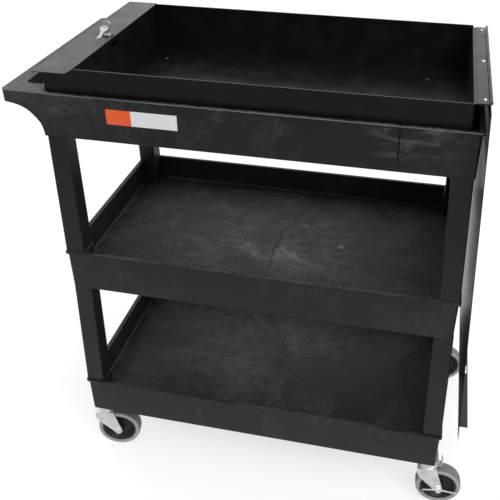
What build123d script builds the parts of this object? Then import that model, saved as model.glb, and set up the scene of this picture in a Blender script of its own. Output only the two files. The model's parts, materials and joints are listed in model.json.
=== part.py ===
from build123d import *
from math import cos, radians, sin
import os

os.makedirs("parts", exist_ok=True)

# Tool cart, in millimetres. +Z is up, the floor is Z = 0, and the push handle is at -X.
# The tubs sit off the origin, so that the whole cart is centred on it.
cart_x = 10.96

# Moulded tub shelves
tub_length = 812.8
tub_depth = 457.2
skirt_height = 92.0
tray_depth = 60.0
wall = 6.0
floor_thickness = 5.0
draft_angle = 1.6
draft = 2.57
tub_corner = 5.0
end_bead = 4.0
side_bead = 1.2
bead_height = 5.0
floor_cove = 5.0
rim_low = 226.0
rim_mid = 589.0
rim_top = 952.0
rib_thickness = 4.0
rib_depth = 20.0
tray_corner = 8.0
top_tray_end = -407.0
tray_half = 220.0

# Corner posts inside the tubs, with sockets for the legs and caster stems
post_x = 383.75
post_y = 203.35
post_width = 35.5
post_depth = 40.7
post_corner = 6.0

# Legs, a drafted box section with a spigot at each end
# The upper legs lean, because the top shelf's sockets sit under the handle block at -X.
leg_base_x = 388.0
leg_base_y = 206.0
leg_top_x = 386.0
leg_top_y = 203.0
upper_left_x = -391.5
upper_right_x = 382.0
leg_base_size = (40.0, 42.0)
leg_top_size = (39.0, 38.0)
leg_wall = 4.0
leg_cap = 6.0
leg_edge = 3.0
shadow_gap = 2.0
shadow_inset = 1.5
foot_x = 385.0
foot_y = 204.0
foot_size = (26.0, 28.0)
foot_length = 39.0
head_size = (22.0, 24.0)
head_length = 23.0
socket_gap = 0.1

# Push handle, moulded on the top shelf
handle_reach = 490.0
handle_bar = 28.0
handle_rail = 44.0
handle_height = 25.0
handle_corner = 8.0
handle_wall = 5.0
handle_hollow = -419.0
grip_end = -412.0
grip_corner = 12.0
grip_edge = 5.0

# Steel tool box standing in the top shelf
sheet = 1.5
box_left = -404.5
box_right = 386.5
box_half = 217.5
box_top = 999.0
hem = 8.0
hinge_ledge = 409.1
cover_left = -408.7
cover_right = -340.5
cover_front = -243.0
cover_back = 218.0
cover_chamfer_x = 4.0
cover_chamfer_y = 18.0
lock_wall_flange = 9.0
stud_x = (-394.0, -346.0)
stud_y = (-150.0, 60.0, 170.0)
stud_radius = 1.6
stud_length = 8.0
box_bolt_x = 300.0
box_bolt_y = 150.0

# Lid and its continuous hinge, drawn hanging open
hinge_x = 413.6
hinge_z = 999.0
hinge_length = 420.0
hinge_knuckles = 14
knuckle_radius = 2.8
knuckle_bore = 1.27
pin_radius = 1.2
leaf = 1.2
leaf_width = 23.0
leaf_relief = 3.4
knuckle_gap = 0.4
lid_open = 267.8
lid_length = 752.6
lid_width = cover_back - cover_front
lid_middle = (cover_front + cover_back) / 2
lid_sheet = 1.2
lid_under = 0.4
lid_start = 5.0
lid_flange = 19.0
lid_flange_half = 208.0
box_rivet_y = (-190.5, 0.0, 190.5)
lid_rivet_y = (-165.0, -55.0, 55.0, 165.0)
rivet_x = 404.0

# Cam lock in the cover, and the keys
lock_x = -355.8
lock_y = -24.0
lock_radius = 9.5
plug_radius = 6.0
plug_gap = 0.08
cam_reach = 24.0
cam_z = 985.5
cam_thickness = 2.0
lock_relief = 13.6
lock_nut_radius = 12.8
slot_low = 983.0
slot_high = 990.0
slot_start = -45.0
slot_end = -17.0
key_thickness = 2.0
key_hole_z = 1018.5
ring_radius = 11.0
ring_wire = 0.8

# Swivel casters
swivel_x = 388.0
swivel_y = 197.0
trail = 29.0
wheel_radius = 50.8
tread_inner = 40.0
wheel_half = 15.0
hub_half = 17.0
crown_z = 106.0
crown_thickness = 3.5
race_top = 118.0
mount_z = rim_low - skirt_height
fork_inner = 18.0
fork_plate = 2.5
axle_radius = 4.0
turning_gap = 0.08
kingpin_radius = 5.0
stem_radius = 5.5
stem_length = 36.0
bolt_head = 7.0
nut_height = 5.0
lever_thickness = 2.0
lever_boss = 8.5
lever_reach = 40.0
lever_droop = 8.5
lever_height = 7.0
lever_tread = 5.0
# Corner, side along X, side along Y, rest swivel angle, brake fitted. A brake is on the outer side.
casters = (
    ("fl", -1, -1, 10.0, False),
    ("fr", 1, -1, 4.0, True),
    ("rl", -1, 1, -6.0, False),
    ("rr", 1, 1, 8.0, True),
)

# Plain label on the front of the top shelf
label_size = (140.0, 31.0)
label_x = -209.3
label_z = 914.2
label_thickness = 0.3

corners = (("fl", -1, -1), ("fr", 1, -1), ("rl", -1, 1), ("rr", 1, 1))


def level(z):
    """Horizontal plane at height z, centred on the tubs."""
    return Plane((cart_x, 0, z))


def save(shape, name):
    shape.part.label = name
    export_step(shape.part, f"parts/{name}.step")


# ---------------------------------------------------------------- shelves


def tub_shell(rim):
    """Drafted outer skirt with its rim bead, and the tray pocket."""
    base = rim - skirt_height
    tray = rim - tray_depth
    base_length = tub_length - 2 * draft
    base_depth = tub_depth - 2 * draft
    with BuildSketch(level(base)) as area:
        RectangleRounded(base_length, base_depth, tub_corner)
    extrude(area.sketch, amount=skirt_height, taper=-draft_angle)
    with BuildSketch(level(rim - bead_height)) as area:
        RectangleRounded(tub_length + 2 * end_bead, tub_depth + 2 * side_bead, tub_corner)
    extrude(area.sketch, amount=bead_height)
    with BuildSketch(level(tray)) as area:
        RectangleRounded(tub_length - 2 * wall - draft, tub_depth - 2 * wall - draft, tray_corner)
    extrude(area.sketch, amount=tray_depth, taper=-draft_angle, mode=Mode.SUBTRACT)


def tub_underside(rim):
    """Hollow below the tray floor, with stiffening ribs left in it."""
    base = rim - skirt_height
    hollow = skirt_height - tray_depth - floor_thickness
    inner_length = tub_length - 2 * draft - 2 * wall
    inner_depth = tub_depth - 2 * draft - 2 * wall
    with BuildSketch(level(base)) as area:
        RectangleRounded(inner_length, inner_depth, tray_corner)
    extrude(area.sketch, amount=hollow, mode=Mode.SUBTRACT)
    with BuildSketch(level(base + hollow - rib_depth)) as area:
        with GridLocations(inner_length / 6, 0, 5, 1):
            Rectangle(rib_thickness, inner_depth + 2)
        with GridLocations(0, inner_depth / 4, 1, 3):
            Rectangle(inner_length + 2, rib_thickness)
    extrude(area.sketch, amount=rib_depth + 1)


def tub_posts(rim, top):
    """Corner posts that carry the legs, up to the height given."""
    base = rim - skirt_height
    with BuildSketch(level(base)) as area:
        with GridLocations(2 * post_x, 2 * post_y, 2, 2):
            RectangleRounded(post_width, post_depth, post_corner)
    extrude(area.sketch, amount=top - base)


def cut_pockets(z, depth, left_x, right_x, y, size):
    """Four square sockets of the depth given, upwards or downwards from z."""
    with BuildSketch(level(z)) as area:
        with Locations((left_x, -y), (left_x, y), (right_x, -y), (right_x, y)):
            Rectangle(size[0] + 2 * socket_gap, size[1] + 2 * socket_gap)
    extrude(area.sketch, amount=depth, mode=Mode.SUBTRACT)


with BuildPart() as bottom_shelf:
    tub_shell(rim_low)
    floor_z = rim_low - tray_depth
    fillet(edges().filter_by_position(Axis.Z, floor_z - 0.1, floor_z + 0.1), floor_cove)
    tub_underside(rim_low)
    tub_posts(rim_low, rim_low)
    cut_pockets(rim_low, -foot_length - 1, -foot_x, foot_x, foot_y, foot_size)
    with BuildSketch(level(mount_z)):
        with GridLocations(2 * swivel_x, 2 * swivel_y, 2, 2):
            Circle(stem_radius + socket_gap)
    extrude(amount=stem_length + 1, mode=Mode.SUBTRACT)
save(bottom_shelf, "bottom_shelf")

with BuildPart() as mid_shelf:
    tub_shell(rim_mid)
    floor_z = rim_mid - tray_depth
    fillet(edges().filter_by_position(Axis.Z, floor_z - 0.1, floor_z + 0.1), floor_cove)
    tub_underside(rim_mid)
    tub_posts(rim_mid, rim_mid)
    cut_pockets(rim_mid, -foot_length - 1, -foot_x, foot_x, foot_y, foot_size)
    cut_pockets(rim_mid - skirt_height, head_length + 1, -leg_top_x, leg_top_x, leg_top_y, head_size)
save(mid_shelf, "mid_shelf")

with BuildPart() as top_shelf:
    # The handle block runs into the tub, and its sides have the same draft as the skirt.
    with BuildSketch(Plane((cart_x, 0, rim_top), x_dir=(1, 0, 0), z_dir=(0, 0, -1))):
        with Locations(((-handle_reach - 300) / 2, 0)):
            RectangleRounded(handle_reach - 300, tub_depth, handle_corner)
    extrude(amount=skirt_height, taper=draft_angle)
    with BuildSketch(Plane((cart_x, 0, 0), x_dir=(1, 0, 0), z_dir=(0, -1, 0))):
        with BuildLine():
            Polyline(
                (-300, rim_top - skirt_height),
                (-300, rim_top),
                (-handle_reach, rim_top),
                (-handle_reach, rim_top - handle_height),
            )
            Spline(
                (-handle_reach, rim_top - handle_height),
                (-464, 923),
                (-440, 912),
                (-423, 894),
                (-412.5, rim_top - skirt_height),
                tangents=((1, -0.1), (0.08, -1)),
            )
            Line((-412.5, rim_top - skirt_height), (-300, rim_top - skirt_height))
        make_face()
    extrude(amount=tub_depth, both=True, mode=Mode.INTERSECT)
    # Hollow underneath the rails and the end bar.
    outer_end = handle_wall - handle_reach
    inner_end = handle_bar - handle_wall - handle_reach
    with BuildSketch(level(rim_top - skirt_height - 1)):
        with Locations(((outer_end + handle_hollow) / 2, 0)):
            Rectangle(handle_hollow - outer_end, tub_depth - 2 * handle_wall - 2 * draft)
        with Locations(((inner_end + grip_end) / 2, 0)):
            Rectangle(
                grip_end - inner_end,
                tub_depth - 2 * handle_rail + 2 * handle_wall,
                mode=Mode.SUBTRACT,
            )
    extrude(amount=skirt_height + 1 - handle_wall, mode=Mode.SUBTRACT)
    # Opening for the hands.
    with BuildSketch(level(rim_top + 1)):
        with Locations(((grip_end - handle_reach + handle_bar) / 2, 0)):
            RectangleRounded(
                grip_end + handle_reach - handle_bar,
                tub_depth - 2 * handle_rail,
                grip_corner,
            )
    extrude(amount=-skirt_height - 2, mode=Mode.SUBTRACT)
    # The bar's inner edge is rounded for the fingers.
    grip_start = cart_x - handle_reach + handle_bar
    grip_edges = edges().filter_by_position(Axis.Z, rim_top - 0.1, rim_top + 0.1)
    grip_edges = grip_edges.filter_by_position(Axis.X, grip_start - 1, cart_x + grip_end + 1)
    fillet(grip_edges, grip_edge)
    tub_shell(rim_top)
    # The tray runs on under the cover.
    with BuildSketch(level(rim_top - tray_depth)):
        with Locations((top_tray_end / 2, 0)):
            RectangleRounded(-top_tray_end, 2 * tray_half, tray_corner)
    extrude(amount=tray_depth + 1, mode=Mode.SUBTRACT)
    tub_underside(rim_top)
    tub_posts(rim_top, rim_top - tray_depth - 1)
    cut_pockets(
        rim_top - skirt_height, head_length + 1, upper_left_x, upper_right_x, leg_top_y, head_size
    )
    with BuildSketch(level(rim_top - tray_depth + 1)):
        with GridLocations(2 * box_bolt_x, 2 * box_bolt_y, 2, 2):
            Circle(3.3)
    extrude(amount=-floor_thickness - 2, mode=Mode.SUBTRACT)
save(top_shelf, "top_shelf")

# ------------------------------------------------------------------- legs


def leg(name, side_x, side_y, rim, top_x):
    """One leg from the rim of a shelf up to the skirt of the shelf above."""
    top = rim + rim_mid - rim_low - skirt_height
    base_centre = (side_x * leg_base_x, side_y * leg_base_y)
    top_centre = (top_x, side_y * leg_top_y)
    foot_centre = (side_x * foot_x, side_y * foot_y)
    with BuildPart() as shape:
        with BuildSketch(level(rim + shadow_gap)):
            with Locations(base_centre):
                RectangleRounded(*leg_base_size, leg_edge)
        with BuildSketch(level(top)):
            with Locations(top_centre):
                RectangleRounded(*leg_top_size, leg_edge)
        loft()
        # The leg steps in just above the rim it stands on.
        with BuildSketch(level(rim)):
            with Locations(base_centre):
                RectangleRounded(
                    leg_base_size[0] - 2 * shadow_inset,
                    leg_base_size[1] - 2 * shadow_inset,
                    leg_edge,
                )
        extrude(amount=shadow_gap)
        with BuildSketch(level(rim + leg_cap)):
            with Locations(base_centre):
                Rectangle(leg_base_size[0] - 2 * leg_wall, leg_base_size[1] - 2 * leg_wall)
        with BuildSketch(level(top - leg_cap)):
            with Locations(top_centre):
                Rectangle(leg_top_size[0] - 2 * leg_wall, leg_top_size[1] - 2 * leg_wall)
        loft(mode=Mode.SUBTRACT)
        with BuildSketch(level(rim - foot_length)):
            with Locations(foot_centre):
                Rectangle(*foot_size)
        extrude(amount=foot_length)
        with BuildSketch(level(rim - foot_length)):
            with Locations(foot_centre):
                Rectangle(foot_size[0] - 2 * leg_wall, foot_size[1] - 2 * leg_wall)
        extrude(amount=foot_length + leg_cap + 1, mode=Mode.SUBTRACT)
        with BuildSketch(level(top)):
            with Locations(top_centre):
                Rectangle(*head_size)
        extrude(amount=head_length)
    save(shape, name)


for corner, side_x, side_y in corners:
    leg(f"lower_leg_{corner}", side_x, side_y, rim_low, side_x * leg_top_x)
    upper_x = upper_left_x if side_x < 0 else upper_right_x
    leg(f"upper_leg_{corner}", side_x, side_y, rim_mid, upper_x)

# --------------------------------------------------------------- tool box

tray_z = rim_top - tray_depth
box_length = box_right - box_left
box_centre = (box_left + box_right) / 2
leaf_seat = hinge_z - knuckle_radius

with BuildPart() as tool_box:
    with BuildSketch(level(tray_z)):
        with Locations((box_centre, 0)):
            RectangleRounded(box_length, 2 * box_half, 3)
    extrude(amount=box_top - tray_z)
    with BuildSketch(level(tray_z + sheet)):
        with Locations((box_centre, 0)):
            RectangleRounded(box_length - 2 * sheet, 2 * box_half - 2 * sheet, 1.5)
    extrude(amount=box_top - tray_z, mode=Mode.SUBTRACT)
    # Folded hems along the top of the front and back walls.
    with BuildSketch(level(box_top - hem)):
        for side in (-1, 1):
            with Locations((box_centre, side * (box_half - sheet - sheet / 2))):
                Rectangle(box_length - 2 * sheet, sheet)
    extrude(amount=hem)
    # Inward flange on the left wall, under the cover.
    with BuildSketch(level(box_top - sheet)):
        with Locations((box_left + 9, 0)):
            Rectangle(16, 2 * box_half - 4 * sheet)
    extrude(amount=sheet)
    # The right wall stops lower and turns outwards to carry the hinge.
    with BuildSketch(level(leaf_seat)):
        with Locations((box_right, 0)):
            Rectangle(4 * sheet, 2 * box_half - 4 * sheet)
    extrude(amount=10, mode=Mode.SUBTRACT)
    with BuildSketch(level(leaf_seat - sheet)):
        with Locations(((box_right - sheet + hinge_ledge) / 2, 0)):
            Rectangle(hinge_ledge - box_right + sheet, hinge_length)
    extrude(amount=sheet)
    with BuildSketch(level(box_top + 1)):
        with Locations(*[(rivet_x, y) for y in box_rivet_y]):
            Circle(1.7)
        with Locations(*[(stud_x[0], y) for y in stud_y]):
            Circle(stud_radius + socket_gap)
    extrude(amount=-8, mode=Mode.SUBTRACT)
    with BuildSketch(level(tray_z)):
        with GridLocations(2 * box_bolt_x, 2 * box_bolt_y, 2, 2):
            Circle(3.3)
    extrude(amount=sheet, mode=Mode.SUBTRACT)
save(tool_box, "tool_box")

# Inner wall beside the lock, folded at the foot and at the top.
with BuildPart() as lock_wall:
    with BuildSketch(Plane((cart_x, 0, 0), x_dir=(1, 0, 0), z_dir=(0, -1, 0))):
        with BuildLine():
            Polyline(
                (cover_right, tray_z + sheet),
                (cover_right, box_top),
                (cover_right - lock_wall_flange, box_top),
                (cover_right - lock_wall_flange, box_top - sheet),
                (cover_right - sheet, box_top - sheet),
                (cover_right - sheet, tray_z + 2 * sheet),
                (cover_right - 16, tray_z + 2 * sheet),
                (cover_right - 16, tray_z + sheet),
                close=True,
            )
        make_face()
    extrude(amount=box_half - 2 * sheet - 0.2, both=True)
    with BuildSketch(Plane((cart_x + cover_right, 0, 0), x_dir=(0, 1, 0), z_dir=(1, 0, 0))):
        with Locations(((slot_start + slot_end) / 2, (slot_low + slot_high) / 2)):
            Rectangle(slot_end - slot_start, slot_high - slot_low)
    extrude(amount=-4, mode=Mode.SUBTRACT)
    with BuildSketch(level(box_top + 1)):
        with Locations((lock_x, lock_y)):
            Circle(lock_relief)
        with Locations(*[(stud_x[1], y) for y in stud_y]):
            Circle(stud_radius + socket_gap)
    extrude(amount=-8, mode=Mode.SUBTRACT)
save(lock_wall, "lock_wall")

with BuildPart() as lock_cover:
    with BuildSketch(level(box_top)):
        with BuildLine():
            Polyline(
                (cover_left, cover_front),
                (cover_right - cover_chamfer_x, cover_front),
                (cover_right, cover_front + cover_chamfer_y),
                (cover_right, cover_back),
                (cover_left, cover_back),
                close=True,
            )
        make_face()
        with Locations((lock_x, lock_y)):
            Circle(lock_radius + 0.05, mode=Mode.SUBTRACT)
    extrude(amount=sheet)
save(lock_cover, "lock_cover")

# Weld studs under the cover, through the flanges, with a nut on each.
stud_places = [(x, y) for x in stud_x for y in stud_y]

with BuildPart() as cover_studs:
    with BuildSketch(level(box_top)):
        with Locations(*stud_places):
            Circle(stud_radius)
    extrude(amount=-stud_length)
save(cover_studs, "cover_studs")

with BuildPart() as cover_nuts:
    with BuildSketch(level(box_top - sheet)):
        with Locations(*stud_places):
            RegularPolygon(3.2, 6)
            Circle(stud_radius + 0.05, mode=Mode.SUBTRACT)
    extrude(amount=-2.4)
save(cover_nuts, "cover_nuts")

with BuildPart() as box_bolts:
    with BuildSketch(level(tray_z + sheet)):
        with GridLocations(2 * box_bolt_x, 2 * box_bolt_y, 2, 2):
            Circle(7)
    extrude(amount=2.4, taper=30)
    with BuildSketch(level(tray_z + sheet)):
        with GridLocations(2 * box_bolt_x, 2 * box_bolt_y, 2, 2):
            Circle(3)
    extrude(amount=-20)
save(box_bolts, "box_bolts")

with BuildPart() as box_nuts:
    with BuildSketch(level(tray_z - floor_thickness)):
        with GridLocations(2 * box_bolt_x, 2 * box_bolt_y, 2, 2):
            Circle(8)
            Circle(3.1, mode=Mode.SUBTRACT)
    extrude(amount=-1.5)
    with BuildSketch(level(tray_z - floor_thickness - 1.5)):
        with GridLocations(2 * box_bolt_x, 2 * box_bolt_y, 2, 2):
            RegularPolygon(5.8, 6)
            Circle(3.1, mode=Mode.SUBTRACT)
    extrude(amount=-5)
save(box_nuts, "box_nuts")

# ---------------------------------------------------------- hinge and lid

lid_turn = radians(lid_open)
down_lid = (-cos(lid_turn), 0, sin(lid_turn))
out_of_lid = (sin(lid_turn), 0, cos(lid_turn))
# Drawn on the lid: X runs down the sheet from the hinge axis, and Y runs towards -Y.
lid_plane = Plane((cart_x + hinge_x, 0, hinge_z), x_dir=down_lid, z_dir=out_of_lid)
# Drawn on the box: X runs inwards from the hinge axis, and Z points down.
leaf_plane = Plane((cart_x + hinge_x, 0, hinge_z), x_dir=(-1, 0, 0), z_dir=(0, 0, -1))
axis_plane = Plane((cart_x + hinge_x, 0, hinge_z), x_dir=(1, 0, 0), z_dir=(0, 1, 0))
knuckle_pitch = hinge_length / hinge_knuckles


def hinge_leaf(name, face, first, holes, hole_x):
    """One leaf with every other knuckle, starting at the knuckle given."""
    own = [knuckle_pitch * (i + 0.5) - hinge_length / 2 for i in range(first, hinge_knuckles, 2)]
    other = [knuckle_pitch * (i + 0.5) - hinge_length / 2 for i in range(1 - first, hinge_knuckles, 2)]
    flip = -1 if face is lid_plane else 1
    with BuildPart() as shape:
        with BuildSketch(face.offset(knuckle_radius - leaf)):
            with Locations((leaf_width / 2, 0)):
                Rectangle(leaf_width, hinge_length)
            for y in other:
                with Locations((0, flip * y)):
                    Rectangle(2 * leaf_relief, knuckle_pitch + knuckle_gap, mode=Mode.SUBTRACT)
            with Locations(*[(hole_x, flip * y) for y in holes]):
                Circle(1.7, mode=Mode.SUBTRACT)
        extrude(amount=leaf)
        for y in own:
            with BuildSketch(axis_plane.offset(y - (knuckle_pitch - knuckle_gap) / 2)):
                Circle(knuckle_radius)
            extrude(amount=knuckle_pitch - knuckle_gap)
        with BuildSketch(axis_plane.offset(-hinge_length / 2 - 1)):
            Circle(knuckle_bore)
        extrude(amount=hinge_length + 2, mode=Mode.SUBTRACT)
        # Trims the leaf back to its own knuckles at their ends.
        for y in own:
            for end in (-1, 1):
                middle = y + end * knuckle_pitch / 2
                if abs(middle) < hinge_length / 2 - 1:
                    with BuildSketch(axis_plane.offset(middle - knuckle_gap / 2)):
                        Circle(leaf_relief)
                    extrude(amount=knuckle_gap, mode=Mode.SUBTRACT)
    save(shape, name)


hinge_leaf("hinge_leaf_box", leaf_plane, 0, box_rivet_y, hinge_x - rivet_x)
hinge_leaf("hinge_leaf_lid", lid_plane, 1, lid_rivet_y, 15)

with BuildPart() as hinge_pin:
    with BuildSketch(axis_plane.offset(-hinge_length / 2)):
        Circle(pin_radius)
    extrude(amount=hinge_length)
save(hinge_pin, "hinge_pin")

with BuildPart() as box_rivets:
    with BuildSketch(level(leaf_seat + leaf)):
        with Locations(*[(rivet_x, y) for y in box_rivet_y]):
            Circle(3.4)
    extrude(amount=1.2, taper=35)
    with BuildSketch(level(leaf_seat + leaf)):
        with Locations(*[(rivet_x, y) for y in box_rivet_y]):
            Circle(1.6)
    extrude(amount=-leaf - sheet)
    with BuildSketch(level(leaf_seat - sheet)):
        with Locations(*[(rivet_x, y) for y in box_rivet_y]):
            Circle(2.6)
    extrude(amount=-1.5, taper=20)
save(box_rivets, "box_rivets")

with BuildPart() as lid_rivets:
    with BuildSketch(lid_plane.offset(knuckle_radius)):
        with Locations(*[(15, -y) for y in lid_rivet_y]):
            Circle(3.4)
    extrude(amount=1.2, taper=35)
    with BuildSketch(lid_plane.offset(lid_under - 0.8)):
        with Locations(*[(15, -y) for y in lid_rivet_y]):
            Circle(1.6)
    extrude(amount=knuckle_radius - lid_under + 0.8)
    with BuildSketch(lid_plane.offset(lid_under)):
        with Locations(*[(15, -y) for y in lid_rivet_y]):
            Circle(2.6)
    extrude(amount=-0.8)
save(lid_rivets, "lid_rivets")

with BuildPart() as lid_panel:
    with BuildSketch(lid_plane.offset(lid_under)):
        with Locations(((lid_start + lid_length) / 2, -lid_middle)):
            Rectangle(lid_length - lid_start, lid_width)
        with Locations(*[(15, -y) for y in lid_rivet_y]):
            Circle(1.7, mode=Mode.SUBTRACT)
    extrude(amount=lid_sheet)
    with BuildSketch(lid_plane.offset(lid_under)):
        with Locations((lid_length - lid_sheet / 2, 0)):
            Rectangle(lid_sheet, 2 * lid_flange_half)
    extrude(amount=-lid_flange)
    # Slot for the lock's cam.
    with BuildSketch(lid_plane.offset(slot_low - hinge_z)):
        with Locations((lid_length, -(slot_start + slot_end) / 2)):
            Rectangle(4, slot_end - slot_start)
    extrude(amount=slot_high - slot_low, mode=Mode.SUBTRACT)
save(lid_panel, "lid_panel")

# ---------------------------------------------------------- lock and keys

cover_top = box_top + sheet
lock_top = cover_top + 2.5
lock_bottom = cam_z + cam_thickness + 0.3

with BuildPart() as lock_body:
    with BuildSketch(level(lock_bottom)):
        with Locations((lock_x, lock_y)):
            Circle(lock_radius)
    extrude(amount=cover_top - lock_bottom)
    with BuildSketch(level(cover_top)):
        with Locations((lock_x, lock_y)):
            Circle(12)
    extrude(amount=lock_top - cover_top, taper=12)
    with BuildSketch(level(lock_bottom)):
        with Locations((lock_x, lock_y)):
            Circle(plug_radius + plug_gap)
    extrude(amount=lock_top - lock_bottom, mode=Mode.SUBTRACT)
save(lock_body, "lock_body")

with BuildPart() as lock_nut:
    with BuildSketch(level(box_top)):
        with Locations((lock_x, lock_y)):
            RegularPolygon(lock_nut_radius, 6)
            Circle(lock_radius + 0.05, mode=Mode.SUBTRACT)
    extrude(amount=-4)
save(lock_nut, "lock_nut")

with BuildPart() as lock_plug:
    with BuildSketch(level(cam_z + cam_thickness)):
        with Locations((lock_x, lock_y)):
            Circle(plug_radius)
    extrude(amount=lock_top - cam_z - cam_thickness)
    with BuildSketch(level(lock_top - 11)):
        with Locations((lock_x, lock_y)):
            Rectangle(key_thickness + 0.4, 8)
    extrude(amount=12, mode=Mode.SUBTRACT)
    with BuildSketch(level(cam_z)):
        with Locations((lock_x, lock_y)):
            Circle(1.6)
    extrude(amount=5, mode=Mode.SUBTRACT)
save(lock_plug, "lock_plug")

with BuildPart() as lock_cam:
    with BuildSketch(level(cam_z)):
        with Locations((lock_x, lock_y - cam_reach / 2 + 3)):
            RectangleRounded(10, cam_reach + 6, 3)
        with Locations((lock_x, lock_y)):
            Circle(6)
            Circle(1.6, mode=Mode.SUBTRACT)
    extrude(amount=cam_thickness)
save(lock_cam, "lock_cam")

with BuildPart() as cam_screw:
    with BuildSketch(level(cam_z)):
        with Locations((lock_x, lock_y)):
            Circle(4)
    extrude(amount=-2)
    with BuildSketch(level(cam_z)):
        with Locations((lock_x, lock_y)):
            Circle(1.5)
    extrude(amount=4.5)
save(cam_screw, "cam_screw")


def key(name, face, blade):
    """Flat key on a plane whose origin is the ring hole and whose X points to the tip."""
    with BuildPart() as shape:
        with BuildSketch(face.offset(-key_thickness / 2)):
            with Locations((4.5, 0)):
                Circle(9)
            with Locations((12 + blade / 2, 0)):
                Rectangle(blade, 7)
            Circle(2.8, mode=Mode.SUBTRACT)
            with Locations(*[(18 + 4 * i, 3.5) for i in range(int((blade - 8) / 4))]):
                Circle(1.1, mode=Mode.SUBTRACT)
        extrude(amount=key_thickness)
    save(shape, name)


key_hole = (cart_x + lock_x, lock_y, key_hole_z)
key("key", Plane(key_hole, x_dir=(0, 0, -1), z_dir=(1, 0, 0)), 13)

# The ring leans back from the key in the lock, and the spare key hangs forwards from it.
ring_lean = (0, 0.6, 0.8)
ring_centre = Vector(key_hole) + ring_radius * Vector(ring_lean)
spare_angle = radians(-112)
spare_hole = (
    ring_centre
    + ring_radius * cos(spare_angle) * Vector(1, 0, 0)
    + ring_radius * sin(spare_angle) * Vector(ring_lean)
)
spare_normal = -sin(spare_angle) * Vector(1, 0, 0) + cos(spare_angle) * Vector(ring_lean)
spare_aim = Vector(-0.3, -0.85, -0.4)
spare_aim = (spare_aim - spare_aim.dot(spare_normal) * spare_normal).normalized()
key("spare_key", Plane(spare_hole, x_dir=spare_aim, z_dir=spare_normal), 26)

with BuildPart() as key_ring:
    with BuildSketch(Plane(ring_centre, x_dir=(1, 0, 0), z_dir=ring_lean)):
        with Locations((ring_radius, 0)):
            Circle(ring_wire)
    revolve(axis=Axis(ring_centre, (0, -0.8, 0.6)))
save(key_ring, "key_ring")

# ----------------------------------------------------------------- casters


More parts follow.
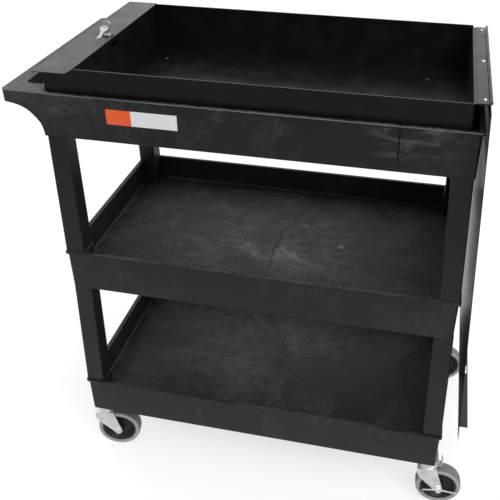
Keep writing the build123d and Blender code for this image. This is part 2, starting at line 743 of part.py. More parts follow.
def caster(corner, side_x, side_y, swing, braked):
    """Stem, fork, axle, hub and tread of one caster, and its brake if fitted."""
    ahead = (cos(radians(swing)), sin(radians(swing)), 0)
    across = (-sin(radians(swing)), cos(radians(swing)), 0)
    x = cart_x + side_x * swivel_x
    y = side_y * swivel_y

    def head(z):
        return Plane((x, y, z), x_dir=ahead, z_dir=(0, 0, 1))

    # Upright plane through the wheel's middle: X is the trailing direction, Y is up.
    upright = Plane((x, y, 0), x_dir=ahead, z_dir=(sin(radians(swing)), -cos(radians(swing)), 0))
    # Profile plane through the axle, for turned shapes.
    axle_point = Vector(x, y, wheel_radius) + trail * Vector(ahead)
    turned = Plane(axle_point, x_dir=across, z_dir=ahead)
    axle = Axis(axle_point, across)
    outer = fork_inner + fork_plate
    head_side = outer + (lever_thickness + 0.2 if braked else 0)
    # Towards the cart's outer side: the plane above faces -Y.
    out = -side_y

    with BuildPart() as stem:
        with BuildSketch(head(mount_z)):
            Circle(stem_radius)
        extrude(amount=stem_length)
        with BuildSketch(head(mount_z)):
            RectangleRounded(46, 40, 8)
        extrude(amount=-3)
        with BuildSketch(head(race_top + 0.1)):
            Circle(19)
        extrude(amount=mount_z - 3 - race_top - 0.1, taper=-8)
        with BuildSketch(head(crown_z - 0.1)):
            Circle(kingpin_radius)
        extrude(amount=race_top + 0.2 - crown_z)
        with BuildSketch(head(crown_z - 0.1)):
            Circle(8)
        extrude(amount=-3.4, taper=15)
    save(stem, f"caster_stem_{corner}")

    with BuildPart() as fork:
        for side in (-1, 1):
            with BuildSketch(upright.offset(side * (fork_inner + fork_plate / 2) - fork_plate / 2)):
                Polygon(
                    (-22, crown_z + crown_thickness),
                    (-22, 96),
                    (-17, 84),
                    (trail - 7.5, wheel_radius - 6),
                    (trail + 8.6, wheel_radius + 3),
                    (21, crown_z + crown_thickness),
                    align=None,
                )
                with Locations((trail, wheel_radius)):
                    Circle(9)
                    Circle(axle_radius + 0.05, mode=Mode.SUBTRACT)
            extrude(amount=fork_plate)
        with BuildSketch(head(crown_z)):
            with Locations((-0.5, 0)):
                Rectangle(43, 2 * fork_inner + 1)
        extrude(amount=crown_thickness)
        with BuildSketch(head(crown_z + crown_thickness)):
            Circle(19)
        extrude(amount=race_top - crown_z - crown_thickness, taper=14)
        with BuildSketch(head(crown_z)):
            Circle(kingpin_radius + turning_gap)
        extrude(amount=race_top - crown_z, mode=Mode.SUBTRACT)
    save(fork, f"fork_{corner}")

    with BuildPart() as bolt:
        with BuildSketch(upright.offset(-out * outer)):
            with Locations((trail, wheel_radius)):
                Circle(axle_radius)
        extrude(amount=out * (outer + head_side))
        with BuildSketch(upright.offset(out * head_side)):
            with Locations((trail, wheel_radius)):
                RegularPolygon(bolt_head, 6)
        extrude(amount=out * 4.5)
        with BuildSketch(upright.offset(-out * outer)):
            with Locations((trail, wheel_radius)):
                RegularPolygon(bolt_head, 6)
        extrude(amount=-out * nut_height)
        with BuildSketch(upright.offset(-out * (outer + nut_height))):
            with Locations((trail, wheel_radius)):
                Circle(axle_radius)
        extrude(amount=-out * 2)
    save(bolt, f"axle_{corner}")

    with BuildPart() as hub:
        with BuildSketch(turned):
            with BuildLine():
                Polyline(
                    (-hub_half, axle_radius + turning_gap),
                    (hub_half, axle_radius + turning_gap),
                    (hub_half, 10),
                    (6, 12),
                    (5, 29),
                    (12, 35),
                    (12.5, tread_inner),
                    (-12.5, tread_inner),
                    (-12, 35),
                    (-5, 29),
                    (-6, 12),
                    (-hub_half, 10),
                    close=True,
                )
            make_face()
        revolve(axis=axle)
    save(hub, f"wheel_hub_{corner}")

    with BuildPart() as tread:
        with BuildSketch(turned):
            with BuildLine():
                Polyline(
                    (-12.5, tread_inner),
                    (12.5, tread_inner),
                    (wheel_half, tread_inner + 2),
                    (wheel_half, wheel_radius - 5),
                    (wheel_half - 2, wheel_radius - 1.6),
                    (wheel_half - 6, wheel_radius - 0.2),
                    (0, wheel_radius),
                    (-wheel_half + 6, wheel_radius - 0.2),
                    (-wheel_half + 2, wheel_radius - 1.6),
                    (-wheel_half, wheel_radius - 5),
                    (-wheel_half, tread_inner + 2),
                    close=True,
                )
            make_face()
        revolve(axis=axle)
    save(tread, f"tread_{corner}")

    if not braked:
        return

    # Both arms droop from the axle, and each ends in a foot tread.
    with BuildPart() as lever:
        with BuildSketch(upright.offset(out * (outer + 0.1))):
            with Locations((trail, wheel_radius)):
                Circle(lever_boss)
            for end in (-1, 1):
                tip_x = trail + end * lever_reach
                tip_y = wheel_radius - lever_droop
                Polygon(
                    (trail, wheel_radius + lever_boss - 1),
                    (tip_x, tip_y + lever_height / 2),
                    (tip_x, tip_y - lever_height / 2),
                    (trail, wheel_radius - lever_boss + 1),
                    align=None,
                )
            with Locations((trail, wheel_radius)):
                Circle(axle_radius + 0.05, mode=Mode.SUBTRACT)
        extrude(amount=out * lever_thickness)
        for end in (-1, 1):
            tip_x = trail + end * lever_reach
            mid_x = trail + end * (lever_boss + 4)
            tip_y = wheel_radius - lever_droop
            mid_y = wheel_radius - lever_droop * (lever_boss + 4) / lever_reach
            with BuildSketch(upright.offset(out * (outer + 0.1))):
                Polygon(
                    (mid_x, mid_y),
                    (tip_x, tip_y),
                    (tip_x, tip_y - lever_thickness),
                    (mid_x, mid_y - lever_thickness),
                    align=None,
                )
            extrude(amount=out * lever_tread)
    save(lever, f"brake_lever_{corner}")

    with BuildPart() as spring:
        with BuildSketch(head(crown_z + crown_thickness)):
            with Locations((26.5, 0)):
                Rectangle(13, 14)
        extrude(amount=2)
        with BuildSketch(head(crown_z + crown_thickness)):
            with Locations((32, 0)):
                Rectangle(2, 14)
        extrude(amount=mount_z - 3 - crown_z - crown_thickness)
    save(spring, f"brake_spring_{corner}")


for entry in casters:
    caster(*entry)

# ------------------------------------------------------------------- label

face_z = label_z - (rim_top - skirt_height)
face_y = -(tub_depth / 2 - draft) - face_z * sin(radians(draft_angle)) / cos(radians(draft_angle))
label_normal = (0, -cos(radians(draft_angle)), -sin(radians(draft_angle)))

with BuildPart() as label:
    with BuildSketch(Plane((cart_x + label_x, face_y, label_z), x_dir=(1, 0, 0), z_dir=label_normal)):
        Rectangle(*label_size)
    extrude(amount=label_thickness)
save(label, "label")
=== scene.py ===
import json
import math

import bmesh
import bpy
from mathutils import Matrix, Vector


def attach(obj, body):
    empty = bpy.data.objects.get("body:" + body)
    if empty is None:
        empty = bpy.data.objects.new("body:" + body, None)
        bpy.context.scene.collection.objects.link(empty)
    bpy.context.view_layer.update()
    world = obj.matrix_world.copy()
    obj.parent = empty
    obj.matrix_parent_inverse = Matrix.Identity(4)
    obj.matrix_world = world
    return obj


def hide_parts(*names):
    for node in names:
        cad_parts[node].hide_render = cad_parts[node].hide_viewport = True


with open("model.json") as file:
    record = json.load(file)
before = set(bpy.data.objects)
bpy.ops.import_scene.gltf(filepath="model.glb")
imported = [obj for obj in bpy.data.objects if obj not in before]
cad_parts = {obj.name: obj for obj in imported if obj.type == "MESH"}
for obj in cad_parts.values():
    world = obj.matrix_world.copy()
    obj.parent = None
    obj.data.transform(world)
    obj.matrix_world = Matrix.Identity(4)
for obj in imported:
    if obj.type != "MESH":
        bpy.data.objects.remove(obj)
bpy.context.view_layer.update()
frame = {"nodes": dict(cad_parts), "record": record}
nodes = frame["nodes"]
scene = bpy.context.scene
MM = 0.001

# Places on the cart that materials mark, in metres
MOULD_LINE_X = 0.2778
GATE_X, GATE_Y = 0.1574, -0.0014
MIDDLE_FLOOR_Z = (0.5, 0.51, 0.54, 0.55)
RIM_Z = (0.9494, 0.9506)
LID_FLANGE_Z = (0.262, 0.255)
LABEL_SPLIT_X = -0.219
NOWHERE = 9.0


# ---------------------------------------------------------------- materials


class Paint:
    """A node material under construction: add() makes a node and links or sets its inputs."""

    def __init__(self, name):
        self.material = bpy.data.materials.new(name)
        self.material.use_nodes = True
        self.tree = self.material.node_tree
        self.tree.nodes.clear()
        self.place = self.add("ShaderNodeTexCoord").outputs["Object"]
        self.normal = self.add("ShaderNodeNewGeometry").outputs["Normal"]

    def add(self, kind, settings=None, **inputs):
        made = self.tree.nodes.new(kind)
        for key, value in (settings or {}).items():
            setattr(made, key, value)
        for key, value in inputs.items():
            index = int(key[1:]) if key[0] == "i" and key[1:].isdigit() else key.replace("_", " ")
            self.feed(made.inputs[index], value)
        return made

    def feed(self, socket, value):
        if isinstance(value, bpy.types.NodeSocket):
            self.tree.links.new(value, socket)
        elif isinstance(value, tuple) and len(value) == 3 and socket.type == "RGBA":
            socket.default_value = (*value, 1.0)
        else:
            socket.default_value = value

    def math(self, what, a, b=0.0, c=0.0, clamp=False):
        made = self.add("ShaderNodeMath", {"operation": what, "use_clamp": clamp}, i0=a, i1=b, i2=c)
        return made.outputs[0]

    def plus(self, a, b, clamp=False):
        return self.math("ADD", a, b, clamp=clamp)

    def minus(self, a, b):
        return self.math("SUBTRACT", a, b)

    def times(self, a, b):
        return self.math("MULTIPLY", a, b)

    def gap(self, a, b):
        return self.math("ABSOLUTE", self.minus(a, b))

    def distance(self, a, b, weight=1.0):
        """Square root of a squared plus b squared, with a weight on b squared."""
        return self.math("SQRT", self.plus(self.times(a, a), self.times(self.times(b, b), weight)))

    def thread(self, value, middle, sharp):
        """A thin line where a value passes its middle."""
        return self.math("SUBTRACT", 1.0, self.times(self.gap(value, middle), sharp), clamp=True)

    def shift(self, offset, amount, start):
        """A place moved by an offset times an amount."""
        sizes = (amount, amount, amount)
        settings = {"operation": "MULTIPLY_ADD"}
        return self.add("ShaderNodeVectorMath", settings, i0=offset, i1=sizes, i2=start).outputs[0]

    def stretch(self, x, y, z):
        made = self.add("ShaderNodeMapping", None, Vector=self.place)
        made.inputs["Scale"].default_value = (x, y, z)
        return made.outputs[0]

    def noise(self, scale, detail=2.0, rough=0.5, warp=0.0, at=None):
        made = self.add(
            "ShaderNodeTexNoise", None, Vector=at or self.place,
            Scale=scale, Detail=detail, Roughness=rough, Distortion=warp,
        )
        return made.outputs["Fac"]

    def cells(self, scale):
        made = self.add("ShaderNodeTexVoronoi", None, Vector=self.place, Scale=scale)
        return made.outputs["Distance"]

    def ramp(self, value, low, high, out_low=0.0, out_high=1.0):
        made = self.add(
            "ShaderNodeMapRange", {"interpolation_type": "SMOOTHSTEP"}, i0=value,
            i1=low, i2=high, i3=out_low, i4=out_high,
        )
        return made.outputs[0]

    def mix(self, amount, a, b):
        made = self.add("ShaderNodeMix", {"data_type": "RGBA"})
        self.feed(made.inputs[0], amount)
        self.feed(made.inputs[6], a)
        self.feed(made.inputs[7], b)
        return made.outputs[2]

    def bump(self, height, strength, distance, under=None):
        made = self.add("ShaderNodeBump", None, Height=height, Strength=strength, Distance=distance)
        if under is not None:
            self.feed(made.inputs["Normal"], under)
        return made.outputs[0]

    def axis(self, name, of=None):
        made = self.add("ShaderNodeSeparateXYZ", None, Vector=of or self.place)
        return made.outputs[name]

    def finish(self, color, rough, metal, normal, specular=0.5):
        shader = self.add("ShaderNodeBsdfPrincipled")
        self.feed(shader.inputs["Base Color"], color)
        self.feed(shader.inputs["Roughness"], rough)
        self.feed(shader.inputs["Metallic"], metal)
        self.feed(shader.inputs["Specular IOR Level"], specular)
        self.feed(shader.inputs["Normal"], normal)
        self.add("ShaderNodeOutputMaterial", None, Surface=shader.outputs[0])
        return self.material


def flow_marks_and_painted_light(p, drift, broad, hair):
    """Flow streaks the melt left as it spread from the middle of a tray, and the top of the handle, rubbed
    lighter by use. The streaks are also lifted in each tray's middle as painted light and dimmed on the
    lower trays as painted shade.
    """
    x, y, z = p.axis("X"), p.axis("Y"), p.axis("Z")
    reach = p.distance(x, y, 3.0)
    turn = p.math("ARCTAN2", p.plus(p.times(y, 1.7), 0.02), p.plus(x, 0.0137))
    polar = p.add("ShaderNodeCombineXYZ", None, X=p.times(turn, 0.9), Y=p.times(reach, 1.6), Z=z)
    streaks = p.noise(9.5, 9.0, 0.7, 1.2, p.shift(drift, 0.85, polar.outputs[0]))
    # Painted light and shade: the streaks are lightest in the middle of each tray floor and fade towards
    # its walls.
    painted_light_middle = p.ramp(p.distance(x, p.minus(y, 0.03), 3.0), 0.1, 0.37, 1.0, 0.0)
    cloud_and_painted_light = p.times(p.ramp(broad, 0.36, 0.66, 0.1, 0.6), p.plus(p.times(painted_light_middle, 1.8), 0.03))
    body = p.times(cloud_and_painted_light, p.ramp(streaks, 0.38, 0.64, 0.4, 1.0))
    lines = p.times(p.thread(streaks, 0.5, 22.0), 0.45)
    threads = p.times(p.thread(hair, 0.52, 14.0), 0.4)
    veins = p.times(p.plus(lines, threads), p.ramp(broad, 0.4, 0.6, 0.1, 0.9))
    # Painted shade: floors lower than half a metre get weaker light streaks, darkest on the bottom tray.
    tray = p.times(p.plus(body, veins), p.ramp(z, 0.2, 0.5, 0.5, 1.15))
    grip = p.times(p.ramp(x, -0.41, -0.39, 0.42, 0.0), p.ramp(z, 0.93, 0.95))
    return p.plus(tray, p.times(grip, p.ramp(broad, 0.35, 0.7, 0.7, 1.3)), clamp=True)


def skirt_smears(p, broad, hair):
    """Light scuffs of upright faces, strongest on the top tub beside the handle and the mould line."""
    x = p.axis("X")
    upper = p.ramp(p.axis("Z"), 0.84, 0.95, 0.0, 1.0)
    scuff = p.times(p.ramp(p.noise(11.0, 7.0, 0.66, 1.0), 0.45, 0.68), p.ramp(hair, 0.42, 0.62, 0.1, 0.9))
    rubbed = p.times(p.times(upper, p.ramp(x, -0.1, -0.36)), p.ramp(broad, 0.36, 0.62, 0.2, 1.0))
    smear = p.plus(p.times(scuff, p.ramp(upper, 0.0, 1.0, 0.16, 0.32)), p.times(rubbed, 0.1))
    wide = p.add("ShaderNodeVectorMath", {"operation": "MULTIPLY"}, i0=p.place, i1=(1.0, 1.0, 3.2))
    streaky = p.ramp(p.noise(13.0, 7.0, 0.62, 1.4, wide.outputs[0]), 0.45, 0.66)
    by_line = p.ramp(p.gap(x, 0.3), 0.02, 0.11, 0.42, 0.0)
    by_handle = p.ramp(p.gap(x, -0.37), 0.02, 0.13, 0.22, 0.0)
    beside = p.math("MAXIMUM", by_line, by_handle)
    return p.plus(smear, p.times(p.times(beside, streaky), upper))


def middle_floor_detail(p, drift):
    """A dark line of painted shade where the middle tray's floor is creased, and the gate mark in that
    floor.
    """
    x, y, z = p.axis("X"), p.axis("Y"), p.axis("Z")
    bottom, low, high, top = MIDDLE_FLOOR_Z
    inside = p.times(p.ramp(z, bottom, low), p.ramp(z, top, high))
    bend = p.plus(p.minus(x, 0.0165), p.times(p.axis("X", drift), 0.05))
    # Painted shade: a thin dark line along the crease, which the geometry does not have.
    line = p.times(p.ramp(p.gap(bend, 0.025), 0.001, 0.006, 0.6, 0.0), inside)
    painted_crease_shade = p.times(line, p.ramp(p.gap(y, -0.035), 0.05, 0.09, 1.0, 0.0))
    from_gate = p.distance(p.minus(x, GATE_X), p.minus(y, GATE_Y))
    return painted_crease_shade, p.times(p.ramp(from_gate, 0.005, 0.011, 0.9, 0.0), inside)


def moulded_plastic(name, dark, streak_and_painted_light, rough, mould_line_x=NOWHERE):
    """Black moulded plastic: fine grain, flow streaks on level faces, light scuffs on upright ones, painted
    light and painted shade on the tray floors, and a painted highlight along the top rim.
    """
    p = Paint(name)
    x, z = p.axis("X"), p.axis("Z")
    up = p.axis("Z", p.normal)
    level = p.ramp(up, 0.75, 0.97)
    drift = p.add("ShaderNodeTexNoise", None, Vector=p.place, Scale=4.5, Detail=4.0).outputs["Color"]
    pulled = p.shift(drift, 0.25, p.place)
    broad = p.noise(3.6, 5.0, 0.6, 0.8, pulled)
    hair = p.noise(30.0, 9.0, 0.75, 2.4, pulled)
    # These floor streaks carry painted light in the tray middles and painted shade on the lower trays.
    marks_and_painted_light = p.times(flow_marks_and_painted_light(p, drift, broad, hair), level)
    mould_line = p.times(p.ramp(p.gap(x, mould_line_x), 0.0, 0.0026, 1.0, 0.0), p.ramp(z, 0.86, 0.9))
    smear = p.minus(skirt_smears(p, broad, hair), p.times(mould_line, 0.4))
    painted_crease_shade, gate = middle_floor_detail(p, drift)
    # Painted shade along the crease darkens the plastic here.
    amount = p.times(p.plus(marks_and_painted_light, smear, clamp=True), p.minus(1.0, painted_crease_shade))
    amount = p.plus(amount, gate, clamp=True)
    # Painted highlight: the faces along the top rim are turned light grey, as a rim that catches the light.
    rim = p.times(p.ramp(z, *RIM_Z), p.minus(1.0, p.ramp(up, 0.8, 0.97)))
    painted_rim_highlight = p.times(rim, p.ramp(broad, 0.3, 0.6, 0.5, 1.0))
    color = p.mix(painted_rim_highlight, p.mix(amount, dark, streak_and_painted_light), (0.2, 0.2, 0.205))
    gloss = p.plus(p.ramp(broad, 0.35, 0.7, rough + 0.07, rough - 0.04), p.times(amount, 0.1))
    wave = p.bump(p.noise(6.0, 2.0), 1.0, 0.0016)
    relief = p.bump(marks_and_painted_light, 1.0, 0.0022, wave)
    grain = p.plus(p.noise(900.0, 3.0), p.times(p.cells(1100.0), 0.5))
    sheen = p.minus(p.minus(0.5, p.times(level, 0.2)), p.times(mould_line, 0.4))
    return p.finish(color, gloss, 0.0, p.bump(grain, 0.2, 0.0003, relief), sheen)


def powder_coat(name, color, rough, wave_depth, specular):
    """Powder-coated sheet steel: orange peel, a slight waviness and rubbed patches."""
    p = Paint(name)
    rubbed = p.ramp(p.noise(16.0, 7.0, 0.62, 0.8), 0.52, 0.78)
    tone = p.mix(p.times(rubbed, 0.35), color, tuple(c * 2.4 + 0.004 for c in color))
    gloss = p.ramp(p.noise(22.0, 4.0), 0.3, 0.75, rough - 0.05, rough + 0.07)
    wave = p.bump(p.noise(3.2, 1.0), 1.0, wave_depth)
    peel = p.bump(p.noise(520.0, 2.0), 0.12, 0.0003, wave)
    return p.finish(tone, gloss, 0.0, peel, specular)


def lid_coat(name, color):
    """Black coat of the lid, whose sheen is set by place to give the reflections seen in the photo.

    It is strong near the hinge, weak towards the free end and weak on the sheet's cut front edge.
    The pattern stands in for surroundings that are not modelled; it is not a known wear pattern.
    """
    p = Paint(name)
    y, z = p.axis("Y"), p.axis("Z")
    flange = p.ramp(z, *LID_FLANGE_Z)
    slant = p.plus(z, p.times(y, 0.8))
    glossy = p.math("MAXIMUM", p.ramp(slant, 0.3, 0.45, 0.1, 1.0), flange)
    back_or_top = p.math("MAXIMUM", p.ramp(y, -0.14, 0.1, 0.22, 1.0), p.ramp(z, 0.8, 0.9))
    bright = p.math("MAXIMUM", back_or_top, flange)
    cut_edge = p.ramp(p.axis("Y", p.normal), -0.9, -0.5, 0.05, 0.5)
    sheen = p.times(glossy, p.times(bright, cut_edge))
    specks = p.ramp(p.noise(60.0, 6.0, 0.7, 0.4), 0.5, 0.75)
    tone = p.mix(p.times(specks, 0.6), color, (0.026, 0.026, 0.027))
    wave = p.bump(p.noise(2.4, 1.0), 1.0, 0.0011)
    peel = p.bump(p.noise(520.0, 2.0), 0.08, 0.0003, wave)
    return p.finish(tone, p.ramp(glossy, 0.0, 1.0, 0.42, 0.2), 0.0, peel, sheen)


def plated_steel(name, color, rough):
    """Bright plated steel with faint rolling lines and blooms in the plating."""
    p = Paint(name)
    bloom = p.ramp(p.noise(55.0, 4.0, 0.6), 0.35, 0.7)
    tone = p.mix(bloom, color, tuple(c * 0.82 for c in color))
    lines = p.noise(560.0, 3.0, 0.6, 0.0, p.stretch(1.0, 1.0, 6.0))
    gloss = p.plus(p.ramp(bloom, 0.0, 1.0, rough, rough + 0.1), p.times(lines, 0.08))
    return p.finish(tone, gloss, 1.0, p.bump(lines, 0.06, 0.0002))


def wheel_rubber(name, color):
    """Soft grey tread with dusty patches that darken the side walls and roughen the whole tread; the
    running face carries painted shade, a flat grey at 0.4 of the colour.
    """
    p = Paint(name)
    facing = p.add("ShaderNodeTexCoord").outputs["Normal"]
    wall = p.ramp(p.math("ABSOLUTE", p.axis("Y", facing)), 0.35, 0.8)
    dust = p.ramp(p.noise(90.0, 6.0, 0.65, 0.6), 0.4, 0.75)
    fresh = p.mix(dust, color, tuple(c * 0.78 for c in color))
    # Painted shade: the running face, away from the side walls, gets 0.4 of the grey.
    tone = p.mix(wall, tuple(c * 0.4 for c in color), fresh)
    gloss = p.ramp(dust, 0.0, 1.0, 0.5, 0.68)
    return p.finish(tone, gloss, 0.0, p.bump(p.noise(700.0, 4.0), 0.2, 0.0003), 0.4)


def two_tone_label(name, left, right):
    """Plain film label in two colours, slightly faded."""
    p = Paint(name)
    half_blend = 0.0003
    side = p.ramp(p.axis("X"), LABEL_SPLIT_X - half_blend, LABEL_SPLIT_X + half_blend)
    faded = p.ramp(p.noise(120.0, 3.0), 0.3, 0.8, 0.0, 0.12)
    tone = p.mix(faded, p.mix(side, left, right), (0.55, 0.53, 0.5))
    gloss = p.ramp(p.noise(60.0, 2.0), 0.3, 0.7, 0.3, 0.42)
    return p.finish(tone, gloss, 0.0, p.bump(p.noise(300.0, 2.0), 0.08, 0.0002))


CART_BLACK = (0.006, 0.0062, 0.0066)
BY_SLOT = {
    # Each plastic's second colour serves its streaks and scuffs and also the painted light of the tray
    # floors.
    "shelf_plastic": moulded_plastic("shelf_plastic", CART_BLACK, (0.155, 0.156, 0.16), 0.42, MOULD_LINE_X),
    "leg_plastic": moulded_plastic("leg_plastic", CART_BLACK, (0.05, 0.051, 0.053), 0.4),
    "hub_plastic": moulded_plastic("hub_plastic", (0.003, 0.003, 0.0032), (0.012, 0.012, 0.0125), 0.5),
    "box_steel": powder_coat("box_steel", (0.0035, 0.0035, 0.0038), 0.34, 0.0005, 0.42),
    "hinge_steel": powder_coat("hinge_steel", (0.005, 0.005, 0.0055), 0.32, 0.0003, 0.45),
    "lid_steel": lid_coat("lid_steel", (0.011, 0.011, 0.0115)),
    "zinc_steel": plated_steel("zinc_steel", (0.72, 0.73, 0.74), 0.26),
    "rivet_aluminium": plated_steel("rivet_aluminium", (0.8, 0.8, 0.79), 0.24),
    "lock_chrome": plated_steel("lock_chrome", (0.78, 0.78, 0.77), 0.14),
    "key_nickel": plated_steel("key_nickel", (0.76, 0.74, 0.7), 0.22),
    "caster_zinc": plated_steel("caster_zinc", (0.98, 0.985, 0.99), 0.33),
    "tread_rubber": wheel_rubber("tread_rubber", (0.4, 0.405, 0.41)),
    "label_film": two_tone_label("label_film", (0.95, 0.12, 0.012), (0.9, 0.91, 0.92)),
}
# Nodes whose look differs from the rest of their slot
BY_NODE = {
    "lock_cover": powder_coat("cover_steel", (0.022, 0.022, 0.023), 0.36, 0.0005, 0.6),
    # Painted shade: the lock body wears a darker copy of the lock chrome for the shadow that lies over it.
    "lock_body": plated_steel("lock_chrome_painted_shade", (0.12, 0.12, 0.125), 0.3),
}


def wear(obj, material):
    obj.data.materials.clear()
    obj.data.materials.append(material)


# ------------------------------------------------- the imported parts' finish


def soften(obj, width):
    """Rounds an object's sharp edges by modifiers; its own mesh stays as packed."""
    weld = obj.modifiers.new("weld", "WELD")
    weld.merge_threshold = 0.01 * MM
    flat = obj.modifiers.new("flat", "DECIMATE")
    flat.decimate_type = "DISSOLVE"
    flat.angle_limit = math.radians(1.0)
    bevel = obj.modifiers.new("round", "BEVEL")
    bevel.width = width
    bevel.segments = 2
    bevel.limit_method = "ANGLE"
    bevel.angle_limit = math.radians(35.0)
    bevel.miter_outer = "MITER_ARC"
    even = obj.modifiers.new("even", "WEIGHTED_NORMAL")
    even.keep_sharp = False
    even.weight = 80


EDGE_MM = {
    "bottom_shelf": 0.7, "mid_shelf": 0.7, "top_shelf": 1.3,
    "tool_box": 0.3, "lock_wall": 0.3, "lock_cover": 0.35, "lid_panel": 0.3,
    "lock_body": 0.4, "lock_nut": 0.3, "lock_plug": 0.3, "lock_cam": 0.3,
}

for part in frame["record"]["subparts"]:
    label = part["node"]
    wear(nodes[label], BY_NODE.get(label, BY_SLOT[part["material_slot"]]))
    if label in EDGE_MM:
        soften(nodes[label], EDGE_MM[label] * MM)


# ------------------------------------------------------- pieces made here


def place_piece(name, mesh, slot, body, stands_for=()):
    """Puts a mesh in the scene as a piece of a slot's material that rides on a body."""
    mesh.name = name
    piece = bpy.data.objects.new(name, mesh)
    scene.collection.objects.link(piece)
    wear(piece, BY_SLOT[slot])
    for face in mesh.polygons:
        face.use_smooth = True
    mesh.set_sharp_from_angle(angle=math.radians(40))
    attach(piece, body)
    if stands_for:
        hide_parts(*stands_for)


def flat_piece(name, outlines, thick, place, slot, body, stands_for):
    """A sheet piece from closed outlines (the later ones are holes), in millimetres."""
    round_edge = 0.5
    curve = bpy.data.curves.new(name + "_outline", "CURVE")
    curve.dimensions = "2D"
    curve.fill_mode = "BOTH"
    for outline in outlines:
        spline = curve.splines.new("POLY")
        spline.points.add(len(outline) - 1)
        for point, (u, w) in zip(spline.points, outline):
            point.co = (u * MM, w * MM, 0.0, 1.0)
        spline.use_cyclic_u = True
    curve.extrude = (thick / 2 - round_edge) * MM
    curve.bevel_depth = round_edge * MM
    curve.bevel_resolution = 2
    curve.offset = -round_edge * MM
    shape = bpy.data.objects.new(name + "_shape", curve)
    scene.collection.objects.link(shape)
    bpy.context.view_layer.update()
    graph = bpy.context.evaluated_depsgraph_get()
    mesh = bpy.data.meshes.new_from_object(shape.evaluated_get(graph))
    bpy.data.objects.remove(shape)
    mesh.transform(place)
    place_piece(name, mesh, slot, body, stands_for)


def axes(origin, x_dir, z_dir):
    """Matrix of a frame, from its origin in millimetres, its X and its Z direction."""
    z = Vector(z_dir).normalized()
    x = (Vector(x_dir) - Vector(x_dir).dot(z) * z).normalized()
    matrix = Matrix((x, z.cross(x), z)).transposed().to_4x4()
    matrix.translation = Vector(origin) * MM
    return matrix


def arc(u, w, radius, start, stop, count):
    """Points along an arc about (u, w), between two angles in degrees."""
    step = (stop - start) / (count - 1)
    turns = [math.radians(start + step * i) for i in range(count)]
    return [(u + radius * math.cos(t), w + radius * math.sin(t)) for t in turns]


def rod(mesh, path, radii, sides):
    """Adds a closed round rod along a path of points in millimetres, with a radius at each."""
    rings = []
    for index, centre in enumerate(path):
        before, after = path[max(index - 1, 0)], path[min(index + 1, len(path) - 1)]
        ahead = (Vector(after) - Vector(before)).normalized()
        side = ahead.orthogonal() if not rings else (last_side - last_side.dot(ahead) * ahead)
        side.normalize()
        last_side = side
        up = ahead.cross(side)
        ring = []
        for k in range(sides):
            turn = 2 * math.pi * k / sides
            spoke = math.cos(turn) * side + math.sin(turn) * up
            ring.append(mesh.verts.new((Vector(centre) + radii[index] * spoke) * MM))
        rings.append(ring)
    for low, high in zip(rings, rings[1:]):
        for k in range(sides):
            n = (k + 1) % sides
            mesh.faces.new((low[k], low[n], high[n], high[k]))
    mesh.faces.new(list(reversed(rings[0])))
    mesh.faces.new(rings[-1])


def hoop(mesh, matrix, radius, wire, count, sides):
    """Adds a ring of wire in the XY plane of a frame, in millimetres."""
    rings = []
    for k in range(count):
        turn = 2 * math.pi * k / count
        spoke = Vector((math.cos(turn), math.sin(turn), 0.0))
        ring = []
        for j in range(sides):
            lean = 2 * math.pi * j / sides
            lift = Vector((0.0, 0.0, wire * math.sin(lean)))
            point = spoke * (radius + wire * math.cos(lean)) + lift
            ring.append(mesh.verts.new(matrix @ (point * MM)))
        rings.append(ring)
    for k in range(count):
        low, high = rings[k], rings[(k + 1) % count]
        for j in range(sides):
            n = (j + 1) % sides
            mesh.faces.new((low[j], high[j], high[n], low[n]))


def from_bmesh(name, shape):
    """Turns a working mesh into a mesh with outward faces."""
    mesh = bpy.data.meshes.new(name)
    bmesh.ops.recalc_face_normals(shape, faces=shape.faces)
    shape.to_mesh(mesh)
    shape.free()
    return mesh


# Casters and lock, in millimetres, as in the CAD
CART_X = 10.96
SWIVEL_X, SWIVEL_Y = 388.0, 197.0
TRAIL, WHEEL_RADIUS = 29.0, 50.8
CHEEK_OUT = 20.5
LEVER_OUT = 21.7
LOCK = Vector((CART_X - 355.8, -24.0, 1003.0))

# Corner: side along X, side along Y, resting swivel angle in degrees, brake fitted
CASTERS = {
    "fl": (-1, -1, 10.0, False), "fr": (1, -1, 4.0, True),
    "rl": (-1, 1, -6.0, False), "rr": (1, 1, 8.0, True),
}


class Caster:
    """A corner's swivel frame: X along the fork's trail, Y up, Z out of its front cheek."""

    def __init__(self, corner):
        side_x, side_y, swing, self.braked = CASTERS[corner]
        turn = math.radians(swing)
        self.outward = -side_y
        self.ahead = (math.cos(turn), math.sin(turn), 0)
        self.facing = (math.sin(turn), -math.cos(turn), 0)
        kingpin = (CART_X + side_x * SWIVEL_X, side_y * SWIVEL_Y, 0.0)
        self.place = axes(kingpin, self.ahead, self.facing)

    def at(self, u, w, out):
        return self.place @ (Vector((u, w, out)) * MM) / MM

    def facing_from(self, origin):
        return axes(origin, self.ahead, self.facing)


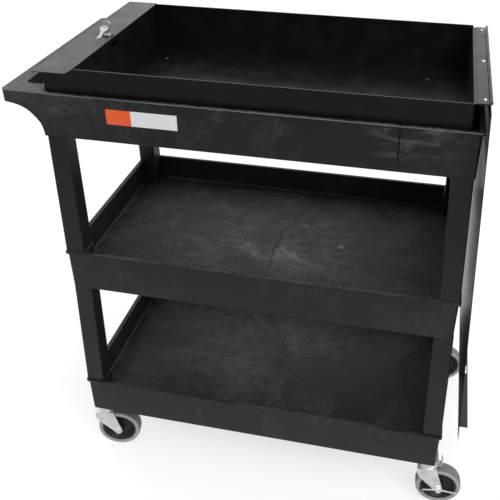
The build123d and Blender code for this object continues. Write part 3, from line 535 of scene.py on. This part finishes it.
def fork_relief(corner):
    """Pressed beads along both cheeks of a fork, a collar at the axle, and ribs on a braked one."""
    caster = Caster(corner)
    shape = bmesh.new()
    rim = [(-19.4, 98.5), (-19.4, 96.0), (-14.6, 85.2)]
    rim += arc(TRAIL, WHEEL_RADIUS, 7.6, 218, 372, 14)
    rim += [(20.2, 88.0), (19.0, 98.5)]
    bead, sides = 1.5, 8
    for cheek in (-1, 1):
        edge = [caster.at(u, w, cheek * CHEEK_OUT) for u, w in rim]
        rod(shape, edge, [bead] * len(edge), sides)
        axle = caster.at(TRAIL, WHEEL_RADIUS, cheek * CHEEK_OUT)
        hoop(shape, caster.facing_from(axle), 4.9, 0.9, 28, sides)
        if caster.braked:
            for lean in (100, 117, 134):
                along, above = math.cos(math.radians(lean)), math.sin(math.radians(lean))
                path = [
                    caster.at(TRAIL + along * r, WHEEL_RADIUS + above * r, cheek * (CHEEK_OUT + 0.1))
                    for r in (8.0, 10.0, 15.0, 22.0, 28.0)
                ]
                rod(shape, path, [1.3, 1.9, 2.1, 1.4, 0.3], sides)
    name = f"fork_relief_{corner}"
    place_piece(name, from_bmesh(name, shape), "caster_zinc", f"caster_{corner}")


def brake_pedal(corner):
    """Slim two-armed brake lever with rounded ends, and a rubber tip on one arm."""
    caster = Caster(corner)
    out = caster.outward * LEVER_OUT
    reach, droop = 40.0, 8.5
    boss, bore, end, end_drop = 7.2, 4.1, 1.9, droop - 1.6
    neck, neck_top, neck_low = 14.0, -0.4, -5.0
    outline = arc(0, 0, boss, 25, 155, 12)
    outline += [(-neck, neck_top)] + arc(-reach, -end_drop, end, 110, 260, 7) + [(-neck, neck_low)]
    outline += arc(0, 0, boss, 225, 315, 8)
    outline += [(neck, neck_low)] + arc(reach, -end_drop, end, -80, 70, 7) + [(neck, neck_top)]
    flat_piece(
        f"brake_pedal_{corner}", [outline, arc(0, 0, bore, 0, 345, 24)], 2.0,
        caster.facing_from(caster.at(TRAIL, WHEEL_RADIUS, out)), "caster_zinc",
        f"brake_{corner}", (f"brake_lever_{corner}",),
    )
    tip = bmesh.new()
    tip_u, tip_w = TRAIL - reach + 2.0, WHEEL_RADIUS - droop
    path = [caster.at(tip_u, tip_w + w, out) for w in (0, 1.5, 4, 6.5, 7.5)]
    rod(tip, path, [2.2, 2.9, 3.1, 2.7, 1.6], 14)
    name = f"pedal_tip_{corner}"
    place_piece(name, from_bmesh(name, tip), "hub_plastic", f"brake_{corner}")


for corner in CASTERS:
    fork_relief(corner)
for corner in CASTERS:
    if CASTERS[corner][3]:
        brake_pedal(corner)


def key_outlines(blade):
    """A round-bowed key: the ring hole is at the origin and the tip points along X."""
    shoulder, half, pitch = 14.0, 3.4, 4
    cuts = [(shoulder, -half)]
    for k in range(int(blade / pitch)):
        start = shoulder + 2.0 + pitch * k
        depth = 0.7 + 0.8 * (k * 7 % 3)
        cuts += [
            (start, -half), (start + 1.0, -half + depth),
            (start + 2.4, -half + depth), (start + 3.2, -half),
        ]
    tip = shoulder + blade
    edge = cuts + [(tip - 2.0, -half), (tip, -1.0), (tip - 2.5, half), (shoulder, half)]
    return [arc(4.0, 0.0, 8.6, 26, 334, 28) + edge, arc(0.0, 0.0, 2.5, 0, 342, 20)]


def keys():
    """One key standing in the lock, a split ring through it, and a spare leaning on the cover."""
    thick, ring_radius, wire_radius = 2.0, 8.3, 0.95
    hole = LOCK + Vector((0, 0, 12.0))
    upright = axes(hole, (0, 0, -1), (1, 0, 0))
    flat_piece("key_in_lock", key_outlines(8.0), thick, upright, "key_nickel", "lock_plug", ("key",))
    ring_middle = hole + Vector((0, 0, ring_radius))
    lean = math.radians(232)
    spare_hole = ring_middle + ring_radius * Vector((math.cos(lean), 0, math.sin(lean)))
    along = Vector((CART_X - 362.0, -56.0, 1003.6)) - spare_hole
    across = Vector((0.1, -0.55, 0.83))
    leaning = axes(spare_hole, along, across - across.project(along))
    outlines = key_outlines(along.length - 14.0)
    flat_piece("key_hanging", outlines, thick, leaning, "key_nickel", "lock_plug", ("spare_key",))
    wire = bmesh.new()
    hoop(wire, axes(ring_middle, (1, 0, 0), (0.1, 1, 0)), ring_radius, wire_radius, 48, 12)
    place_piece("split_ring", from_bmesh("split_ring", wire), "key_nickel", "lock_plug", ("key_ring",))


keys()


# ------------------------------------------------------- floor, light, camera


def plain_floor():
    """A pale floor: flat white to the camera, but reflections see it darken towards the front."""
    half = 14.0
    mesh = bpy.data.meshes.new("floor")
    mesh.from_pydata(
        [(-half, -half, 0), (half, -half, 0), (half, half, 0), (-half, half, 0)], [], [(0, 1, 2, 3)]
    )
    floor = bpy.data.objects.new("floor", mesh)
    scene.collection.objects.link(floor)
    p = Paint("floor_paint")
    ahead = p.ramp(p.axis("Y"), -2.6, -0.45, 0.22, 0.6)
    glow = p.add("ShaderNodeEmission", None, Color=(1.0, 1.0, 1.0), Strength=ahead)
    matt = p.add("ShaderNodeBsdfDiffuse", None, Color=(0.4, 0.4, 0.4))
    lift = p.add("ShaderNodeEmission", None, Color=(1.0, 1.0, 1.0), Strength=0.66)
    pale = p.add("ShaderNodeAddShader", None, i0=matt.outputs[0], i1=lift.outputs[0])
    shown = p.add("ShaderNodeLightPath").outputs["Is Camera Ray"]
    both = p.add("ShaderNodeMixShader", None, i0=shown, i1=glow.outputs[0], i2=pale.outputs[0])
    p.add("ShaderNodeOutputMaterial", None, Surface=both.outputs[0])
    wear(floor, p.material)


def studio_world():
    """Soft room light, darker towards the camera; the camera itself sees plain white instead."""
    world = bpy.data.worlds.new("studio")
    scene.world = world
    world.use_nodes = True
    tree = world.node_tree
    tree.nodes.clear()
    place = tree.nodes.new("ShaderNodeTexCoord")
    split = tree.nodes.new("ShaderNodeSeparateXYZ")
    tree.links.new(place.outputs["Generated"], split.inputs[0])
    lean = tree.nodes.new("ShaderNodeMath")
    lean.operation = "MULTIPLY_ADD"
    tree.links.new(split.outputs["Z"], lean.inputs[0])
    lean.inputs[1].default_value = 0.8
    tree.links.new(split.outputs["Y"], lean.inputs[2])
    fade = tree.nodes.new("ShaderNodeMapRange")
    fade.interpolation_type = "SMOOTHSTEP"
    tree.links.new(lean.outputs[0], fade.inputs[0])
    for index, value in ((1, -0.75), (2, 0.25), (3, 0.3), (4, 1.05)):
        fade.inputs[index].default_value = value
    lit = tree.nodes.new("ShaderNodeBackground")
    tree.links.new(fade.outputs[0], lit.inputs["Strength"])
    plain = tree.nodes.new("ShaderNodeBackground")
    for shade in (lit, plain):
        shade.inputs["Color"].default_value = (1, 1, 1, 1)
    shown = tree.nodes.new("ShaderNodeLightPath")
    pick = tree.nodes.new("ShaderNodeMixShader")
    tree.links.new(shown.outputs["Is Camera Ray"], pick.inputs[0])
    tree.links.new(lit.outputs[0], pick.inputs[1])
    tree.links.new(plain.outputs[0], pick.inputs[2])
    out = tree.nodes.new("ShaderNodeOutputWorld")
    tree.links.new(pick.outputs[0], out.inputs["Surface"])


def soft_light(name, where, aim, size, power):
    """A square soft box at a place, turned to face a point."""
    data = bpy.data.lights.new(name, "AREA")
    data.shape = "RECTANGLE"
    data.size, data.size_y = size
    data.energy = power
    light = bpy.data.objects.new(name, data)
    scene.collection.objects.link(light)
    light.location = where
    light.rotation_euler = (Vector(aim) - Vector(where)).to_track_quat("-Z", "Y").to_euler()


def studio_camera():
    """Camera from the front right and above, turned, tipped and rolled by these angles."""
    turn, tip, roll = math.radians(12.04), math.radians(28.4), math.radians(0.2)
    ahead = Vector((-math.sin(turn) * math.cos(tip), math.cos(turn) * math.cos(tip), -math.sin(tip)))
    level = Vector((math.cos(turn), math.sin(turn), 0.0))
    above = level.cross(ahead)
    right = math.cos(roll) * level + math.sin(roll) * above
    up = -math.sin(roll) * level + math.cos(roll) * above
    data = bpy.data.cameras.new("camera")
    data.lens = 53.71
    data.sensor_width = 36.0
    data.shift_x = -0.0721
    data.shift_y = -0.1709
    camera = bpy.data.objects.new("camera", data)
    scene.collection.objects.link(camera)
    place = Matrix((right, up, -ahead)).transposed().to_4x4()
    place.translation = Vector((0.32749, -1.4014, 1.5014))
    camera.matrix_world = place
    scene.camera = camera


scene.view_settings.view_transform = "Standard"
plain_floor()
studio_world()
middle = (0.0, 0.0, 0.5)
soft_light("key_light", (1.9, -2.4, 3.0), middle, (2.0, 1.6), 60.0)
studio_camera()
